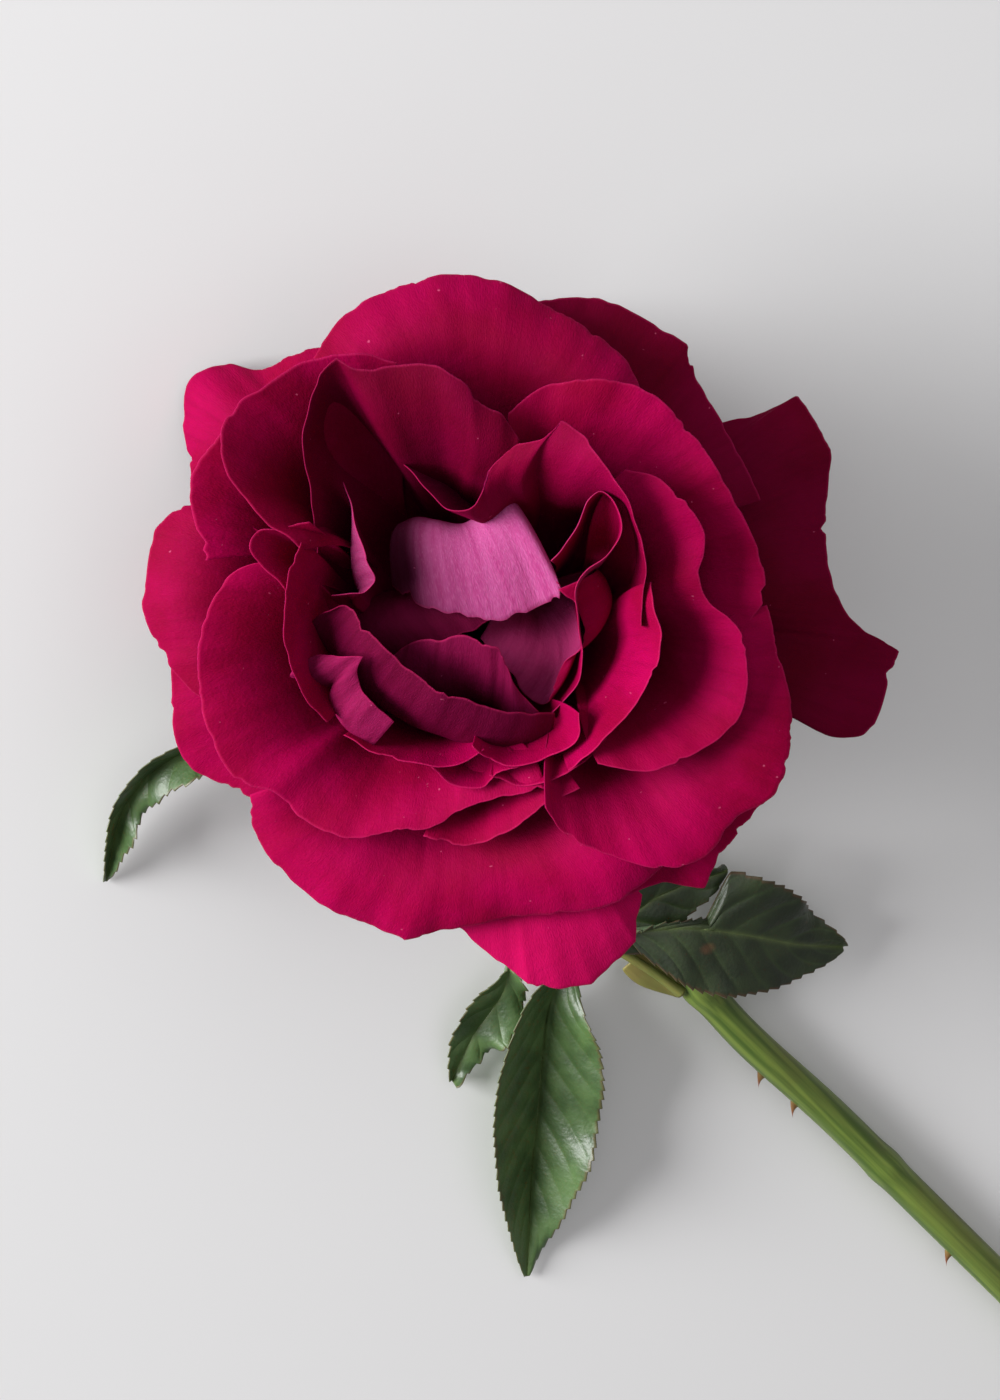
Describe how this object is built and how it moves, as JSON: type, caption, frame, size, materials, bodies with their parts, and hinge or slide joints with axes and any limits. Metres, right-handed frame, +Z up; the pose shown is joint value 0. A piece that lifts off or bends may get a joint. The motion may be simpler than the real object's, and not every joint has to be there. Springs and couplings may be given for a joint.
{
  "type": "cut rose",
  "caption": "Cut garden rose in full bloom lying on its side, with an open cupped flower, sepals, a thorny stem and a few serrated leaflets.",
  "frame": {"origin": "centre of the whole rose's footprint on the table (bottom centre of its bounding box)", "axes": "+Z up from the table; the stem lies along -Y with its cut end farthest; the bloom is at the +Y end, facing up and leaning toward +Y; +X is to the right seen from the cut end"},
  "size_m": [0.125, 0.295, 0.0731],
  "materials": {
    "petal": "velvety deep crimson-magenta face, mauve-pink reverse",
    "receptacle": "smooth waxy green",
    "sepal": "matte green with reddish edges",
    "stem": "smooth green bark tinged reddish brown, satin",
    "stalk": "satin yellow-green",
    "leaf": "semi-gloss dark green with paler veins"
  },
  "bodies": {
    "root": {"receptacle": "receptacle", "petal_hood": "petal", "petal_hood_right": "petal", "petal_hood_left": "petal", "petal_heart_low": "petal", "petal_inner_low": "petal", "petal_inner_left": "petal", "petal_flap_left": "petal", "petal_scroll": "petal", "petal_pocket_low": "petal", "petal_crescent_low": "petal", "petal_crescent_right": "petal", "petal_peak": "petal", "petal_shelf_a": "petal", "petal_shelf_b": "petal", "petal_back_wall": "petal", "petal_blade_left": "petal", "petal_lobe_right": "petal", "petal_tongue_left": "petal", "petal_arch_top": "petal", "petal_sweep_upper_left": "petal", "petal_sweep_lower_left": "petal", "petal_shelf_low": "petal", "petal_tuck_left": "petal", "petal_sweep_lower_right": "petal", "petal_sweep_top": "petal", "petal_sweep_bottom": "petal", "petal_sweep_left": "petal", "petal_drape_upper_right": "petal", "petal_drape_lower_right": "petal", "petal_drape_bottom": "petal", "petal_drape_lower_left": "petal", "petal_drape_upper_left": "petal", "petal_guard_right": "petal", "petal_guard_top": "petal", "petal_guard_left": "petal", "sepal_1": "sepal", "sepal_2": "sepal", "sepal_3": "sepal", "sepal_4": "sepal", "sepal_5": "sepal", "stem": "stem", "leaf_stalk": "stalk", "side_stalk": "stalk", "leaflet_right": "leaf", "leaflet_behind": "leaf", "leaflet_front": "leaf", "leaflet_end": "leaf", "leaflet_left": "leaf"}
  },
  "joints": []
}
